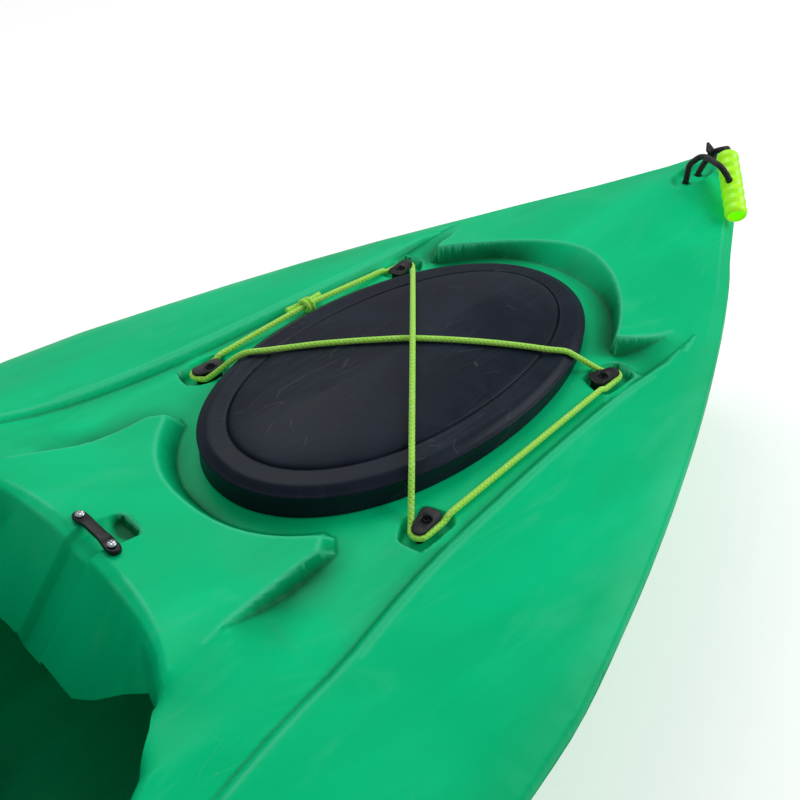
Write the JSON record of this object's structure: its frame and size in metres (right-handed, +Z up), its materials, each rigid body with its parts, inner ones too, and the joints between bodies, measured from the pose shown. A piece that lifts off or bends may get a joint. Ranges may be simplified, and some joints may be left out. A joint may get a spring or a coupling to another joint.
{
  "type": "sit-in kayak",
  "caption": "Short sit-in recreational kayak with a lidded stern hatch held by a crossed elastic cord, toggle handles, seat and footrests.",
  "frame": {"origin": "centre of the bounding box's bottom face: on the ground under the middle of the boat", "axes": "+X to the bow, +Y to port, +Z up"},
  "size_m": [2.95, 0.775, 0.3846],
  "materials": {
    "green_polyethylene": "semi-gloss rotomoulded skin",
    "charcoal_lid": "satin",
    "black_nylon": "satin",
    "black_rubber": "matte",
    "dark_screw": "satin",
    "lime_elastic_cord": "braided",
    "stainless_steel": "polished",
    "neon_grip": "satin",
    "black_cord": "braided",
    "black_plastic": "fine grain",
    "grey_cushion": "woven",
    "grey_foam": "closed-cell foam"
  },
  "bodies": {
    "boat": {"hull_shell": "green_polyethylene", "deck_shell": "green_polyethylene", "hatch_coaming": "black_nylon", "strap_bracket": "black_nylon", "drain_seat": "black_nylon", "pad_eye_stern_port": "black_nylon", "pad_eye_stern_starboard": "black_nylon", "pad_eye_bow_port": "black_nylon", "pad_eye_bow_starboard": "black_nylon", "pad_screw_stern_port": "dark_screw", "pad_screw_stern_starboard": "dark_screw", "pad_screw_bow_port": "dark_screw", "pad_screw_bow_starboard": "dark_screw", "deck_bungee": "lime_elastic_cord", "bungee_knot": "lime_elastic_cord", "bracket_screw_port": "stainless_steel", "bracket_screw_starboard": "stainless_steel", "rail_screw_port_aft": "stainless_steel", "rail_screw_port_fore": "stainless_steel", "rail_screw_starboard_aft": "stainless_steel", "rail_screw_starboard_fore": "stainless_steel", "hinge_pin_port": "stainless_steel", "hinge_pin_starboard": "stainless_steel", "seat_pan": "black_plastic", "seat_bracket_port": "black_plastic", "seat_bracket_starboard": "black_plastic", "foot_rail_port": "black_plastic", "foot_rail_starboard": "black_plastic", "seat_cushion": "grey_cushion", "stern_bulkhead": "grey_foam", "bow_foam_pillar": "grey_foam"},
    "hatch_cover": {"hatch_lid": "charcoal_lid", "hatch_gasket": "black_rubber"},
    "stern_handle": {"stern_grip": "neon_grip", "stern_cord_keeper": "black_nylon", "stern_handle_cord": "black_cord"},
    "bow_handle": {"bow_grip": "neon_grip", "bow_cord_keeper": "black_nylon", "bow_handle_cord": "black_cord"},
    "backrest": {"backrest_panel": "black_plastic", "backrest_cushion": "grey_cushion", "backrest_arm_port": "black_plastic", "backrest_arm_starboard": "black_plastic"},
    "footrest_port": {"foot_pedal_port": "black_plastic"},
    "footrest_starboard": {"foot_pedal_starboard": "black_plastic"},
    "drain_cap": {"drain_plug": "black_nylon", "drain_washer": "black_rubber"}
  },
  "joints": [
    {"name": "hatch_lid_lift", "type": "slide", "parent": "boat", "child": "hatch_cover", "axis": [0, 0, 1], "range_m": [0, 0.12], "deforming": ["deck_bungee"]},
    {"name": "stern_handle_swing", "type": "hinge", "parent": "boat", "child": "stern_handle", "pos_m": [-1.381, 0, 0.334], "axis": [1, 0, 0], "range_deg": [0, 75], "deforming": ["stern_handle_cord"]},
    {"name": "bow_handle_swing", "type": "hinge", "parent": "boat", "child": "bow_handle", "pos_m": [1.381, 0, 0.3473], "axis": [1, 0, 0], "range_deg": [0, 75], "deforming": ["bow_handle_cord"]},
    {"name": "backrest_fold", "type": "hinge", "parent": "boat", "child": "backrest", "pos_m": [-0.327, 0, 0.135], "axis": [0, 1, 0], "range_deg": [-12, 70]},
    {"name": "port_pedal_slide", "type": "slide", "parent": "boat", "child": "footrest_port", "axis": [0.9775, -0.2107, 0], "range_m": [-0.1, 0.215]},
    {"name": "starboard_pedal_slide", "type": "slide", "parent": "boat", "child": "footrest_starboard", "axis": [0.9775, 0.2107, 0], "range_m": [-0.1, 0.215]},
    {"name": "drain_plug_pull", "type": "slide", "parent": "boat", "child": "drain_cap", "axis": [-0.4952, -0.8128, -0.307], "range_m": [0, 0.04]}
  ]
}
